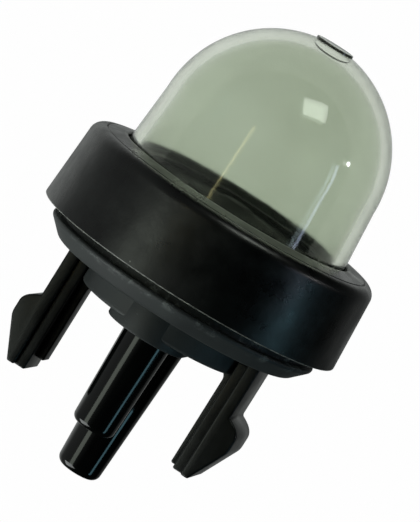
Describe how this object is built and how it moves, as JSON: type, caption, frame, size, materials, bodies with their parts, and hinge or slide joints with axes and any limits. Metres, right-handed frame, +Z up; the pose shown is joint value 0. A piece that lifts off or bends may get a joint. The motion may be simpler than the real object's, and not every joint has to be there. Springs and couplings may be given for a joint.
{
  "type": "fuel primer bulb",
  "caption": "Snap-in fuel primer bulb: a clear squeeze dome held by a snap ring on a moulded base with hose nipples and barbed legs.",
  "frame": {"origin": "on the dome's axis, in the plane of the base flange's underside, where the part seats on its panel", "axes": "+Z up the axis to the top of the dome, X through the pair of snap legs, Y through the pair of nipples"},
  "size_m": [0.022, 0.022, 0.033],
  "materials": {
    "base": "matt moulded black nylon",
    "valve": "moulded fuel-proof rubber",
    "bulb": "hazy clear moulded polyurethane",
    "ring": "semi-gloss moulded black nylon"
  },
  "bodies": {
    "root": {"base": "base", "check_valve": "valve", "bulb": "bulb", "retainer_ring": "ring"}
  },
  "joints": []
}
